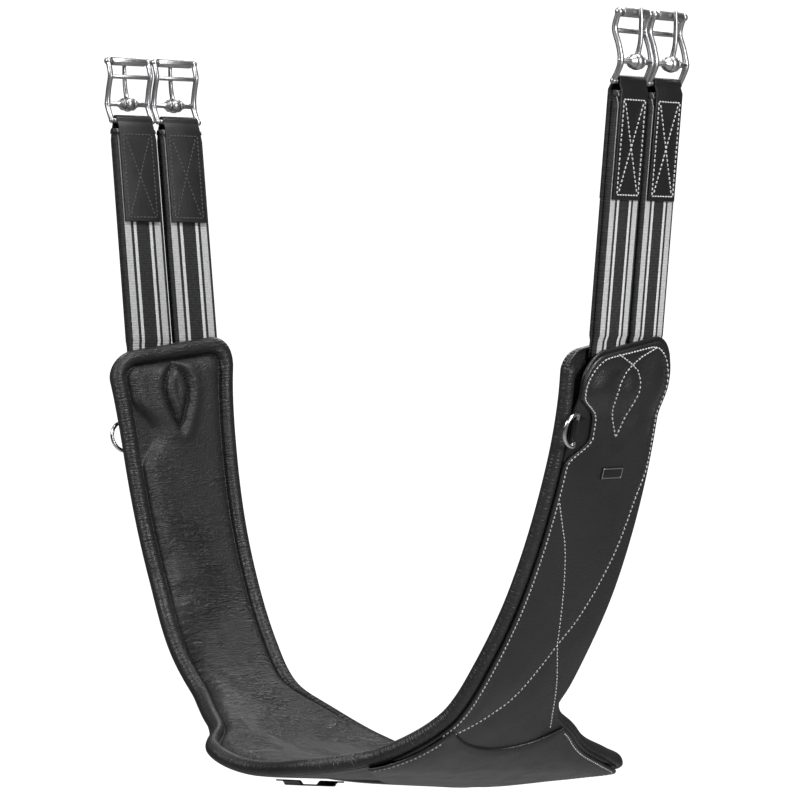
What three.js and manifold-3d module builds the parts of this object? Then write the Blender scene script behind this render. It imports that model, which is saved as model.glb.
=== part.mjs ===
// A long saddle girth, hung up by its buckles so that it makes a U.
//
// Millimetres, +Z up. +X runs from the left arm of the U to the right one, and +Y from the girth's
// front edge to its rear edge. The origin is the middle of the left front roller.
//
// The soft body is a ribbon. Every place on it has three numbers:
//   s  distance along the ribbon from the middle of the belly, negative on the left arm
//   t  distance across it, from the centre line of the straps, negative towards the front edge
//   n  height above its middle surface, positive on the outer side and negative on the horse's side

import * as THREE from 'three';
import { mergeVertices } from 'three/addons/utils/BufferGeometryUtils.js';
import Module from 'manifold-3d';

const wasm = await Module();
wasm.setup();

// ---------------------------------------------------------------- driving sizes

const GAP = 0.4;
const HALF_LENGTH = 470;
const CORNER = 26;
const END_SLANT = { share: 0.15, from: 410 };
const SPACING = 16;

// How the ribbon hangs: the distance from the middle, the slope of its centre line, then the turn and tilt of its width, in degrees.
const SLOPE = [
  [-470, -82.2],
  [-350, -75.9],
  [-240, -57.5],
  [-160, -43],
  [-80, -17.1],
  [0, 2.3],
  [80, 13.9],
  [160, 45.3],
  [240, 59.3],
  [350, 69.8],
  [470, 83.9],
];
const TWIST = [
  [-470, -5.8, 0.4],
  [-290, -4, 2.5],
  [-190, -0.7, -1],
  [-110, 6.5, -8.2],
  [0, -0.6, -4],
  [110, -2.9, -2.1],
  [200, 1, 1.4],
  [290, 1.2, 0.5],
  [470, 12.6, 0],
];

// The cut of the leather: distance from the middle, reach to the front edge and to the rear edge.
const CUT = [
  [0, 122, 122],
  [60, 122, 125],
  [100, 92, 158],
  [115, 85, 134],
  [130, 79, 102],
  [150, 70, 70],
  [165, 64.5, 50],
  [180, 62.5, 43],
  [210, 61, 42.5],
  [280, 54.5, 45.5],
  [380, 57, 48],
  [430, 61, 50.5],
  [470, 66, 57],
];

// The lining is sewn up from three lengths, which meet at the joins.
const LINING = { roll: 7, rollTop: 2.6, rollWidth: 14, pad: 8, padInset: 19, groove: 4, skin: 1.6, edgeBevel: 2 };
const LINING_JOIN = 11 * SPACING;
const ROLL_SINK = { from: 424, to: 444 };
const PADDING_END = 438;
const CORE = { thick: 2.4, half: 36, end: 450, inset: 17 };
const SKIN = { thick: 2, endInset: 3, frontInset: 8.5, rearInset: 3, riseFrom: 412, riseTo: 436 };
const OVERLAY = { from: 7 * SPACING, to: 464, frontInset: 10.5, rearInset: 5 };
const BELLY_PANEL = { from: SPACING, to: 9 * SPACING, frontInset: 8, rearInset: 9, cutOff: 4 };
const KEEPER = { t: -66, half: 25, loopHalf: 15, loopHeight: 5, thick: 2, along: 20 };
const PLATE = { s: 373, t: 1.5, along: 9, across: 22, thick: 1.2 };
const BELLY_RISE = { from: 80, to: 112 };
const DRING = { left: -396, right: 406, inset: 9.5, half: 12, reach: 12, wire: 1.5, lift: 0.7 };
const DRING_TAB = { tail: 11, along: 16, thick: 1.4 };
const RING_RECESS = { depth: 18, full: 12, none: 34 };

// Each end carries two straps side by side. Along a strap, v is the height above the leather body's end.
const STRAP_OFFSET = 21.7;
const ELASTIC = { width: 40, thick: 8, top: 175.6, tail: 30 };
const CHAPE = { width: 32.6, thick: 1.9, bottom: 98.6, loopBore: 2.5 };
const HINGE_HEIGHT = 182.2;

// A buckle's bars, by their height above the chape's loop and how far outward they stand.
const BUCKLE = { rail: 1.8, railHalf: 19, hingeBar: 2, tongueBar: 2.1, crossBar: 1.8, axle: 1.6, boss: 2.8, bossHalf: 18.6 };
const TONGUE_BAR = [14.5, 5];
const CROSS_BAR = [35.5, -2.3];
const ROLLER_BAR = [48.6, 0];
const ROLLER = { outer: 3.5, bore: 2, half: 15.5, sides: 16 };
const TONGUE = { rod: 1.7, ringBore: 2.5, ringOuter: 4.7, ringHalf: 3.4 };

// ---------------------------------------------------------------- materials

const material = (color, roughness, metalness = 0) =>
  new THREE.MeshStandardMaterial({ color, roughness, metalness });
const LEATHER = material(0x1c1c1d, 0.55);
const SOFT_LEATHER = material(0x232324, 0.65);
const FOAM = material(0x8d8a80, 0.95);
const WEBBING = material(0x2b2b2b, 0.9);
const STRIPED = material(0x6f6f6e, 0.85);
const STEEL = material(0xb9bbbd, 0.25, 1);

// ---------------------------------------------------------------- the ribbon

const radians = THREE.MathUtils.degToRad;
const clamp = THREE.MathUtils.clamp;
const smoothstep = THREE.MathUtils.smoothstep;

// Reads one column of a table at x, along a smooth curve through its rows.
function curveThrough(table, x, column) {
  const last = table.length - 1;
  const at = clamp(x, table[0][0], table[last][0]);
  let i = 0;
  while (i < last - 1 && at >= table[i + 1][0]) i += 1;
  const rise = (a, b) => (table[b][column] - table[a][column]) / (table[b][0] - table[a][0]);
  const slopeAt = (k) => rise(Math.max(k - 1, 0), Math.min(k + 1, last));
  const span = table[i + 1][0] - table[i][0];
  const u = (at - table[i][0]) / span;
  return (2 * u ** 3 - 3 * u ** 2 + 1) * table[i][column]
    + (u ** 3 - 2 * u ** 2 + u) * span * slopeAt(i)
    + (3 * u ** 2 - 2 * u ** 3) * table[i + 1][column]
    + (u ** 3 - u ** 2) * span * slopeAt(i + 1);
}

function directionsAt(s) {
  const slope = radians(curveThrough(SLOPE, s, 1));
  const turn = radians(curveThrough(TWIST, s, 1));
  const tilt = radians(curveThrough(TWIST, s, 2));
  const along = new THREE.Vector3(Math.cos(slope), 0, Math.sin(slope));
  const across = new THREE.Vector3(-Math.sin(turn) * Math.cos(tilt), Math.cos(turn) * Math.cos(tilt), Math.sin(tilt));
  across.addScaledVector(along, -across.dot(along)).normalize();
  const outward = new THREE.Vector3().crossVectors(across, along);
  return { along, across, outward };
}

// The centre line, added up in short steps from the middle of the belly to each end.
const STEP = 2;
const STEPS = HALF_LENGTH / STEP;
const centreLine = new Map([[0, new THREE.Vector3()]]);
for (const side of [-1, 1]) {
  for (let i = 1; i <= STEPS; i += 1) {
    const before = directionsAt(side * (i - 1) * STEP).along;
    const after = directionsAt(side * i * STEP).along;
    const place = centreLine.get(side * (i - 1)).clone();
    place.addScaledVector(before.add(after), side * STEP / 2);
    centreLine.set(side * i, place);
  }
}

function frameAt(s) {
  const inside = clamp(s, -HALF_LENGTH, HALF_LENGTH);
  const { along, across, outward } = directionsAt(inside);
  const lower = clamp(Math.floor(inside / STEP), -STEPS, STEPS - 1);
  const centre = centreLine.get(lower).clone().lerp(centreLine.get(lower + 1), inside / STEP - lower);
  centre.addScaledVector(along, s - inside);
  return { centre, along, across, outward };
}

const reach = (s, edge) => curveThrough(CUT, Math.abs(s), edge);

// How much a rounded end takes off each edge of the outline, end being where the piece stops.
function rounding(s, end, radius = CORNER) {
  const into = clamp(radius - (end - Math.abs(s)), 0, radius);
  return radius - Math.sqrt(radius ** 2 - into ** 2);
}

function pointOn(frame, t, n) {
  return frame.centre.clone().addScaledVector(frame.across, t).addScaledVector(frame.outward, n);
}

// ---------------------------------------------------------------- solids

function closedGeometry(points, triangles) {
  const geometry = new THREE.BufferGeometry();
  geometry.setAttribute('position', new THREE.Float32BufferAttribute(points.flatMap((p) => p.toArray()), 3));
  geometry.setIndex(triangles.flat());
  let volume = 0;
  for (const [a, b, c] of triangles) volume += points[a].dot(points[b].clone().cross(points[c]));
  if (volume < 0) geometry.setIndex(triangles.flatMap(([a, b, c]) => [a, c, b]));
  return geometry;
}

// The leather body's ends are cut at a slant, their rear corners further along than their front ones.
function slanted(s, t) {
  return s + Math.sign(s) * END_SLANT.share * t * smoothstep(Math.abs(s), END_SLANT.from, HALF_LENGTH);
}

// The core and the elastics are cut straight across.
const square = (s) => s;

// Sweeps a section of [t, n] corners along the ribbon and closes both ends.
function ribbon(stations, section, placed = slanted) {
  const rings = stations.map((s) => section(s).map(([t, n]) => pointOn(frameAt(placed(s, t)), t, n)));
  const corners = rings[0].length;
  const triangles = [];
  for (let i = 0; i + 1 < rings.length; i += 1) {
    for (let k = 0; k < corners; k += 1) {
      const a = i * corners + k;
      const b = i * corners + (k + 1) % corners;
      triangles.push([a, b, b + corners], [a, b + corners, a + corners]);
    }
  }
  const cap = (s) => THREE.ShapeUtils.triangulateShape(section(s).map(([t, n]) => new THREE.Vector2(t, n)), []);
  const last = (rings.length - 1) * corners;
  for (const [a, b, c] of cap(stations[0])) triangles.push([a, c, b]);
  for (const [a, b, c] of cap(stations.at(-1))) triangles.push([last + a, last + b, last + c]);
  return closedGeometry(rings.flat(), triangles);
}

// A flat slab's section. Its wide faces are cut into cells, so that a twisted stretch stays true.
function slab(front, rear, low, high, cells = 6) {
  const across = (i) => THREE.MathUtils.lerp(front, rear, i / cells);
  const underside = Array.from({ length: cells + 1 }, (_, i) => [across(i), low]);
  const topside = Array.from({ length: cells + 1 }, (_, i) => [across(cells - i), high]);
  return [...underside, ...topside];
}

function solidOf(geometry) {
  const bare = geometry.clone();
  bare.deleteAttribute('normal');
  bare.deleteAttribute('uv');
  const merged = mergeVertices(bare, 1e-4);
  return new wasm.Manifold(new wasm.Mesh({
    numProp: 3,
    vertProperties: new Float32Array(merged.attributes.position.array),
    triVerts: new Uint32Array(merged.index.array),
  }));
}

function geometryOf(solid) {
  const mesh = solid.getMesh();
  const geometry = new THREE.BufferGeometry();
  geometry.setAttribute('position', new THREE.BufferAttribute(mesh.vertProperties, 3));
  geometry.setIndex(new THREE.BufferAttribute(mesh.triVerts, 1));
  return geometry;
}

const joined = (...geometries) => geometryOf(wasm.Manifold.union(geometries.map(solidOf)));
const cutFrom = (geometry, ...tools) => geometryOf(wasm.Manifold.difference([geometry, ...tools].map(solidOf)));

// A round rod through the given points.
function rod(points, radius, steps = 12, sides = 8) {
  const shape = new THREE.Shape();
  shape.absarc(0, 0, radius, 0, 2 * Math.PI);
  const path = points.length === 2
    ? new THREE.LineCurve3(...points)
    : new THREE.CatmullRomCurve3(points);
  return new THREE.ExtrudeGeometry(shape, { steps, curveSegments: sides / 2, extrudePath: path });
}

function ball(radius, x, y, z) {
  return new THREE.SphereGeometry(radius, 8, 6).translate(x, y, z);
}

// A bar or cone along x, from one place on it to another.
function barAlongX(fromX, toX, fromRadius, toRadius, y, z, sides = 10) {
  const bar = new THREE.CylinderGeometry(toRadius, fromRadius, toX - fromX, sides);
  return bar.rotateZ(-Math.PI / 2).translate((fromX + toX) / 2, y, z);
}

// A tube along x with a flat facet square to y.
function tubeAlongX(bore, outer, half, sides) {
  const profile = [[bore, -half], [outer, -half], [outer, half], [bore, half], [bore, -half]];
  const points = profile.map(([r, x]) => new THREE.Vector2(r, x));
  return new THREE.LatheGeometry(points, sides, Math.PI / sides).rotateZ(-Math.PI / 2);
}

// An outline drawn in y and z, made as wide as given along x.
function acrossX(shape, width) {
  const geometry = new THREE.ExtrudeGeometry(shape, { depth: width, bevelEnabled: false, curveSegments: 8 });
  geometry.translate(0, 0, -width / 2);
  const axes = new THREE.Matrix4().makeBasis(
    new THREE.Vector3(0, 1, 0), new THREE.Vector3(0, 0, 1), new THREE.Vector3(1, 0, 0));
  return geometry.applyMatrix4(axes);
}

// ---------------------------------------------------------------- assembly

const girth = new THREE.Group();

function addMesh(parent, name, geometry, look) {
  const mesh = new THREE.Mesh(geometry, look.clone());
  mesh.name = name;
  parent.add(mesh);
  return mesh;
}

const SIDES = [{ name: 'left', sign: -1 }, { name: 'right', sign: 1 }];
const EDGES = [{ name: 'front', sign: -1 }, { name: 'rear', sign: 1 }];

// Even steps from one number to another.
function evenSteps(from, to, spacing) {
  const count = Math.ceil(Math.abs(to - from) / spacing);
  return Array.from({ length: count + 1 }, (_, i) => from + (to - from) * i / count);
}

// Stations along the ribbon. Every piece shares the whole multiples of the spacing, so that one layer
// bends where the next one does.
function stationsBetween(from, to) {
  const shared = [];
  for (let i = Math.floor(from / SPACING) + 1; i * SPACING < to; i += 1) shared.push(i * SPACING);
  return [from, ...shared, to];
}

// Stations up to a rounded end, close together in the round.
const roundedStations = (end) => [19, 12, 6, 2, 0].map((into) => end - into);

// Stations over the whole body, both of its ends rounded.
function bodyStations(end) {
  const rounded = roundedStations(end);
  const middle = stationsBetween(-(end - CORNER), end - CORNER);
  return [...rounded.map((s) => -s).reverse(), ...middle, ...rounded];
}

// A frame whose x runs across the ribbon to the rear edge, y along it and z outward. Flipped, x and y
// point the other way, so that y runs out along a strap on the left arm.
function groupOn(parent, s, t, n, flipped = false) {
  const frame = frameAt(s);
  const way = flipped ? -1 : 1;
  const axes = new THREE.Matrix4().makeBasis(
    frame.across.clone().multiplyScalar(way), frame.along.clone().multiplyScalar(way), frame.outward);
  const group = new THREE.Group();
  group.quaternion.setFromRotationMatrix(axes);
  group.position.copy(pointOn(frame, t, n));
  parent.add(group);
  return group;
}

// ---------------------------------------------------------------- the soft body

// Heights of the leather levels: the outer skin lies over the core, and rises over the elastics' ends.
const OVER_CORE = GAP + CORE.thick + GAP;
const OVER_ELASTIC = GAP + ELASTIC.thick + GAP;
const LEVEL = SKIN.thick + GAP;
const skinLevel = (s) => THREE.MathUtils.lerp(
  OVER_CORE, OVER_ELASTIC, smoothstep(Math.abs(s), SKIN.riseFrom, SKIN.riseTo));
const overlayLevel = (s) => skinLevel(s) + LEVEL;
const bellyLevel = (s) => overlayLevel(s) + (LEVEL + GAP) * smoothstep(Math.abs(s), BELLY_RISE.from, BELLY_RISE.to);

// The overlay draws back from the front edge around each D-ring.
const ringRecess = (s) => RING_RECESS.depth
  * (1 - smoothstep(Math.abs(s - (s < 0 ? DRING.left : DRING.right)), RING_RECESS.full, RING_RECESS.none));

// The lining wraps a round roll along each edge, flat on its outer side where the skin lies on it.
// At the body's ends the rolls' outer sides sink, and leave the straps their way out.
function liningSection(s) {
  const corner = rounding(s, HALF_LENGTH);
  const front = -reach(s, 1) + corner;
  const rear = reach(s, 2) - corner;
  const { roll, rollTop, rollWidth, pad, padInset, groove, edgeBevel } = LINING;
  const bevel = roll / 2;
  const top = rollTop * (1 - smoothstep(Math.abs(s), ROLL_SINK.from, ROLL_SINK.to));
  const padCells = 4;
  const padAt = (i) => THREE.MathUtils.lerp(front + padInset, rear - padInset, i / padCells);
  const padFace = Array.from({ length: padCells + 1 }, (_, i) => [padAt(i), -pad]);
  const back = padFace.map(([t]) => [t, 0]).reverse();
  return [
    [rear, top - edgeBevel], [rear - edgeBevel, top], [rear - rollWidth, top], [rear - rollWidth - 1, 0], ...back,
    [front + rollWidth + 1, 0], [front + rollWidth, top], [front + edgeBevel, top], [front, top - edgeBevel],
    [front, -bevel], [front + bevel, -roll],
    [front + rollWidth - bevel, -roll], [front + rollWidth, -groove], ...padFace,
    [rear - rollWidth, -groove], [rear - rollWidth + bevel, -roll], [rear - bevel, -roll], [rear, -bevel],
  ];
}

// The padding's section, and with no gap the hollow that it lies in.
function paddingSection(s, gap, high) {
  const inset = LINING.padInset + gap;
  return slab(inset - reach(s, 1), reach(s, 2) - inset, LINING.skin - LINING.pad + gap, high, 4);
}

function addLiningAndPadding(parent) {
  const hollow = ribbon(stationsBetween(-PADDING_END, PADDING_END), (s) => paddingSection(s, 0, SKIN.thick));
  const armStart = LINING_JOIN + GAP / 2;
  const bellyEnd = LINING_JOIN - GAP / 2;
  const arm = [...stationsBetween(armStart, HALF_LENGTH - CORNER), ...roundedStations(HALF_LENGTH)];
  const lengths = {
    lining_left: arm.map((s) => -s),
    lining_belly: stationsBetween(-bellyEnd, bellyEnd),
    lining_right: arm,
  };
  for (const [name, stations] of Object.entries(lengths)) {
    addMesh(parent, name, cutFrom(ribbon(stations, liningSection), hollow), SOFT_LEATHER);
  }

  const foamEnd = PADDING_END - GAP;
  const foam = ribbon(stationsBetween(-foamEnd, foamEnd), (s) => paddingSection(s, GAP, -GAP));
  addMesh(parent, 'foam_padding', foam, FOAM);
}

function addCore(parent) {
  const { thick, half, end, inset } = CORE;
  const section = (s) => slab(
    Math.max(-half, inset - reach(s, 1)), Math.min(half, reach(s, 2) - inset), GAP, GAP + thick, 4);
  addMesh(parent, 'webbing_core', ribbon(stationsBetween(-end, end), section, square), WEBBING);
}

function addOuterSkin(parent) {
  const { thick, endInset, frontInset, rearInset } = SKIN;
  const end = HALF_LENGTH - endInset;
  const section = (s) => {
    const corner = rounding(s, end);
    const front = frontInset - reach(s, 1) + corner;
    return slab(front, reach(s, 2) - rearInset - corner, skinLevel(s), skinLevel(s) + thick);
  };
  addMesh(parent, 'outer_skin', ribbon(bodyStations(end), section), LEATHER);
}

function addOverlay(parent, side) {
  const { from, to, frontInset, rearInset } = OVERLAY;
  const stations = [...stationsBetween(from, to - CORNER), ...roundedStations(to)];
  const section = (s) => {
    const corner = rounding(s, to);
    const front = frontInset - reach(s, 1) + Math.max(corner, ringRecess(s));
    return slab(front, reach(s, 2) - rearInset - corner, overlayLevel(s), overlayLevel(s) + SKIN.thick, 4);
  };
  addMesh(parent, `overlay_${side.name}`, ribbon(stations.map((s) => s * side.sign), section), LEATHER);
}

// A belly panel's inner front corner is cut off, on a diagonal from the middle of the belly.
function addBellyPanel(parent, side) {
  const { from, to, frontInset, rearInset, cutOff } = BELLY_PANEL;
  const section = (s) => {
    const front = Math.max(frontInset - reach(s, 1), cutOff - Math.abs(s));
    return slab(front, reach(s, 2) - rearInset, bellyLevel(s), bellyLevel(s) + SKIN.thick);
  };
  const stations = stationsBetween(from, to).map((s) => s * side.sign);
  addMesh(parent, `belly_panel_${side.name}`, ribbon(stations, section), LEATHER);
}

// A leather bridge under the belly. A breastplate's strap goes through it, along the ribbon.
function addKeeper(parent) {
  const { half, loopHalf, loopHeight, thick, along } = KEEPER;
  const rise = [[half, 0], [loopHalf + 2, 0], [loopHalf, loopHeight], [0, loopHeight]];
  const top = [[0, loopHeight + thick], [loopHalf + 0.5, loopHeight + thick], [loopHalf + 2.5, thick], [half, thick]];
  const right = [...rise, ...top].map(([x, z]) => new THREE.Vector2(x, z));
  const left = [...rise, ...top].map(([x, z]) => new THREE.Vector2(-x, z)).reverse();
  const corners = [...right.slice(0, 3), ...left.slice(5, 8), ...left.slice(0, 3), ...right.slice(5, 8)];
  const geometry = new THREE.ExtrudeGeometry(new THREE.Shape(corners), { depth: along, bevelEnabled: false });
  geometry.translate(0, 0, -along / 2).rotateX(Math.PI / 2);
  const group = groupOn(parent, 0, KEEPER.t, overlayLevel(0));
  addMesh(group, 'belly_keeper', geometry, LEATHER);
}

function addPlate(parent) {
  const group = groupOn(parent, PLATE.s, PLATE.t, overlayLevel(PLATE.s) + LEVEL + PLATE.thick / 2);
  const plate = new THREE.BoxGeometry(PLATE.across, PLATE.along, PLATE.thick);
  addMesh(group, 'label_plate', plate, LEATHER);
}

// A D-ring on the front edge, its straight bar in the loop of a leather tab that lies on the skin.
function addRing(parent, side) {
  const { inset, half, reach: depth, wire, lift } = DRING;
  const { tail, along, thick } = DRING_TAB;
  const s = DRING[side.name];
  const bore = wire + GAP;
  const outer = bore + thick;
  const group = groupOn(parent, s, inset - reach(s, 1), overlayLevel(s) + outer + lift);
  const arc = evenSteps(0, Math.PI, Math.PI / 12).map(
    (angle) => new THREE.Vector3(-depth * Math.sin(angle), half * Math.cos(angle), 0));
  const bar = rod([new THREE.Vector3(0, -half, 0), new THREE.Vector3(0, half, 0)], wire, 1);
  const ring = joined(rod(arc, wire, 14), bar, ball(wire, 0, half, 0), ball(wire, 0, -half, 0));
  addMesh(group, `d_ring_${side.name}`, ring, STEEL);

  const shape = new THREE.Shape();
  const opening = Math.asin(2 * thick / outer) - Math.PI / 2;
  shape.absarc(0, 0, outer, opening, -Math.PI / 2, false);
  shape.lineTo(tail, -outer);
  shape.lineTo(tail, 2 * thick - outer);
  shape.closePath();
  const eye = new THREE.Path();
  eye.absarc(0, 0, bore, 0, 2 * Math.PI);
  shape.holes.push(eye);
  const tab = new THREE.ExtrudeGeometry(shape, { depth: along, bevelEnabled: false, curveSegments: 10 });
  tab.translate(0, 0, -along / 2).rotateX(Math.PI / 2);
  addMesh(group, `d_ring_tab_${side.name}`, tab, LEATHER);
}

// ---------------------------------------------------------------- the straps

// The elastic is sewn onto the core inside the body, thinned there, and runs straight outside it.
function addElastic(parent, side, edge) {
  const centre = STRAP_OFFSET * edge.sign;
  const half = ELASTIC.width / 2;
  const thinEnd = CORE.end + 2;
  const stations = [HALF_LENGTH - ELASTIC.tail, thinEnd, thinEnd + 1, HALF_LENGTH - 8,
    ...evenSteps(HALF_LENGTH, HALF_LENGTH + ELASTIC.top, 43)];
  const section = (s) => slab(
    centre - half, centre + half, Math.abs(s) > thinEnd ? GAP : OVER_CORE, GAP + ELASTIC.thick, 2);
  const geometry = ribbon(stations.map((s) => s * side.sign), section, square);
  addMesh(parent, `elastic_${side.name}_${edge.name}`, geometry, STRIPED);
}

// A leather hairpin over the elastic's top, its bend a loop around the buckle's hinge bar.
function chapeGeometry() {
  const { width, thick, bottom, loopBore } = CHAPE;
  const side = ELASTIC.thick / 2 + GAP;
  const low = bottom - HINGE_HEIGHT;
  const shoulder = ELASTIC.top + GAP - HINGE_HEIGHT;
  const bend = radians(110);
  const shape = new THREE.Shape();
  shape.moveTo(low, side + thick);
  shape.lineTo(shoulder, side + thick);
  shape.absarc(0, 0, loopBore + thick, bend, -bend, true);
  shape.lineTo(shoulder, -side - thick);
  shape.lineTo(low, -side - thick);
  shape.lineTo(low, -side);
  shape.lineTo(shoulder, -side);
  shape.absarc(0, 0, loopBore, -bend, bend, false);
  shape.lineTo(shoulder, side);
  shape.lineTo(low, side);
  shape.closePath();
  return acrossX(shape, width);
}

function frameGeometry() {
  const { rail, railHalf, hingeBar, tongueBar, crossBar, axle, boss, bossHalf } = BUCKLE;
  const { ringHalf } = TONGUE;
  const profile = [[0, 0], [7, 3.2], TONGUE_BAR, [25, 2.2], CROSS_BAR, [42, -2], ROLLER_BAR];
  const pieces = [
    barAlongX(-railHalf, railHalf, hingeBar, hingeBar, 0, 0),
    barAlongX(-railHalf, railHalf, tongueBar, tongueBar, ...TONGUE_BAR),
    barAlongX(-railHalf, railHalf, crossBar, crossBar, ...CROSS_BAR),
    barAlongX(-bossHalf, bossHalf, axle, axle, ...ROLLER_BAR),
  ];
  for (const way of [-1, 1]) {
    const path = profile.map(([v, n]) => {
      const half = THREE.MathUtils.lerp(railHalf, bossHalf, v / ROLLER_BAR[0]);
      return new THREE.Vector3(way * half, v, n);
    });
    const wideEnd = ringHalf + 0.6;
    const narrowEnd = ringHalf + 5;
    pieces.push(
      rod(path, rail, 12),
      ball(hingeBar + 0.1, way * railHalf, 0, 0),
      ball(boss, way * bossHalf, ...ROLLER_BAR),
      way > 0
        ? barAlongX(wideEnd, narrowEnd, 2 * tongueBar, tongueBar, ...TONGUE_BAR)
        : barAlongX(-narrowEnd, -wideEnd, tongueBar, 2 * tongueBar, ...TONGUE_BAR),
    );
  }
  return joined(...pieces);
}

function tongueGeometry() {
  const { rod: thick, ringBore, ringOuter, ringHalf } = TONGUE;
  const height = ROLLER_BAR[0] - TONGUE_BAR[0];
  const restOnRoller = ROLLER.outer + GAP + thick - TONGUE_BAR[1];
  const path = [
    new THREE.Vector3(0, ringBore + 1, 0.5),
    new THREE.Vector3(0, 0.4 * height, 2.2),
    new THREE.Vector3(0, 0.75 * height, 1.8),
    new THREE.Vector3(0, height + 3, restOnRoller),
  ];
  return joined(
    tubeAlongX(ringBore, ringOuter, ringHalf, 14), rod(path, thick, 8), ball(thick, 0, height + 3, restOnRoller));
}

function addStrap(parent, side, edge) {
  const name = (piece) => `${piece}_${side.name}_${edge.name}`;
  addElastic(parent, side, edge);
  const top = (HALF_LENGTH + HINGE_HEIGHT) * side.sign;
  const loop = groupOn(parent, top, STRAP_OFFSET * edge.sign, GAP + ELASTIC.thick / 2, side.sign < 0);
  addMesh(loop, name('chape'), chapeGeometry(), LEATHER);
  addMesh(loop, name('buckle_frame'), frameGeometry(), STEEL);
  const roller = addMesh(
    loop, name('roller'), tubeAlongX(ROLLER.bore, ROLLER.outer, ROLLER.half, ROLLER.sides), STEEL);
  roller.position.set(0, ...ROLLER_BAR);
  const tongue = addMesh(loop, name('tongue'), tongueGeometry(), STEEL);
  tongue.position.set(0, ...TONGUE_BAR);
}

// ---------------------------------------------------------------- the whole girth

const whole = new THREE.Group();
addLiningAndPadding(whole);
addCore(whole);
addOuterSkin(whole);
addKeeper(whole);
addPlate(whole);
for (const side of SIDES) {
  addOverlay(whole, side);
  addBellyPanel(whole, side);
  addRing(whole, side);
  for (const edge of EDGES) addStrap(whole, side, edge);
}

// The left front roller's middle becomes the origin.
whole.updateMatrixWorld(true);
const originRoller = whole.getObjectByName('roller_left_front');
whole.position.sub(originRoller.getWorldPosition(new THREE.Vector3()));
girth.add(whole);

export default girth;
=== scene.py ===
"""A long saddle girth that hangs in a U by its buckles: leather, striped elastic and steel.

Places on the soft body are given as in the CAD, in millimetres: s along the ribbon from the middle of the
belly, t across it from the straps' centre line, negative towards the front edge, and n outward from its
middle surface. Everything made is in metres.
"""

import math

import bmesh
import bpy
import numpy as np
from mathutils import Matrix, Vector


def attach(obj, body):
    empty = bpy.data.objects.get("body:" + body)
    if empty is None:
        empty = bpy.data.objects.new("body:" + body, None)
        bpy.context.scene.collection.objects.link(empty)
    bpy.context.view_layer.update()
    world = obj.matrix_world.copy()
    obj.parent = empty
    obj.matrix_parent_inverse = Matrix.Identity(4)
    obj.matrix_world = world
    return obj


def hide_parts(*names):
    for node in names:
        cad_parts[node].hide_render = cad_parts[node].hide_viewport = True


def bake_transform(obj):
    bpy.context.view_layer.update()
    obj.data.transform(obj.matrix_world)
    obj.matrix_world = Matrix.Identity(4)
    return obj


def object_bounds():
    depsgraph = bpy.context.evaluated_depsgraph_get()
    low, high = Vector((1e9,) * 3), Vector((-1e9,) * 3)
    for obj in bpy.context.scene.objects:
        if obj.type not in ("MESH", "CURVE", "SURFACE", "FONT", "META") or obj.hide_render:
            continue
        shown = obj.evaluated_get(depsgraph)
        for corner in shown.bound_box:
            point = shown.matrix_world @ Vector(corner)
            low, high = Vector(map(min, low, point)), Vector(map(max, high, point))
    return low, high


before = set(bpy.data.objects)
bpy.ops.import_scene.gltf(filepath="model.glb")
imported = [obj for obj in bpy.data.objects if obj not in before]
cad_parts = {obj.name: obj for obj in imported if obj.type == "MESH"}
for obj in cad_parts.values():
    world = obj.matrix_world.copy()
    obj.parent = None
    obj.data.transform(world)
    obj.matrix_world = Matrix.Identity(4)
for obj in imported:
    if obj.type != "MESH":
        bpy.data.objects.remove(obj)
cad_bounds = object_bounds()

MM = 0.001

# ---------------------------------------------------------------- sizes shared with the CAD

HALF_LENGTH = 470
CORNER = 26
END_SLANT = 0.15
SLOPE = np.array([
    (-470, -82.2), (-350, -75.9), (-240, -57.5), (-160, -43), (-80, -17.1), (0, 2.3),
    (80, 13.9), (160, 45.3), (240, 59.3), (350, 69.8), (470, 83.9),
])
TWIST = np.array([
    (-470, -5.8, 0.4), (-290, -4, 2.5), (-190, -0.7, -1), (-110, 6.5, -8.2), (0, -0.6, -4),
    (110, -2.9, -2.1), (200, 1, 1.4), (290, 1.2, 0.5), (470, 12.6, 0),
])
CUT = np.array([
    (0, 122, 122), (60, 122, 125), (100, 92, 158), (115, 85, 134), (130, 79, 102), (150, 70, 70),
    (165, 64.5, 50), (180, 62.5, 43), (210, 61, 42.5), (280, 54.5, 45.5), (380, 57, 48),
    (430, 61, 50.5), (470, 66, 57),
])
GAP = 0.4
SKIN = 2.0
CORE_THICK = 2.4
ELASTIC_THICK = 8
ELASTIC_WIDTH = 40
ELASTIC_TOP = 175.6
STRAP_OFFSET = 21.7
HINGE_HEIGHT = 182.2
CHAPE_WIDTH = 32.6
CHAPE_THICK = 1.9
CHAPE_BOTTOM = 98.6
CHAPE_BORE = 2.5
TONGUE_BAR = (14.5, 5.0)
CROSS_BAR = (35.5, -2.3)
ROLLER_BAR = (48.6, 0.0)
RING_AT = {"left": -396, "right": 406}
RING_INSET = 9.5
RING_HALF = 12
RING_REACH = 12
RING_WIRE = 1.5
RING_LIFT = 0.7
TAB = {"width": 16.0, "tail": 11.0, "thick": 1.4}
OVERLAY_END = 464
OVERLAY_START = 112
OVERLAY_CORNER_REACH = 40
SKIN_FRONT_INSET = 8.5
SKIN_END_INSET = 3
OVER_CORE = GAP + CORE_THICK + GAP
OVER_ELASTIC = GAP + ELASTIC_THICK + GAP
LEVEL = SKIN + GAP
SIDES = {"left": -1, "right": 1}
EDGES = {"front": -1, "rear": 1}


# ---------------------------------------------------------------- the ribbon

def smooth(x, low, high):
    u = np.clip((np.asarray(x, float) - low) / (high - low), 0, 1)
    return u * u * (3 - 2 * u)


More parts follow.
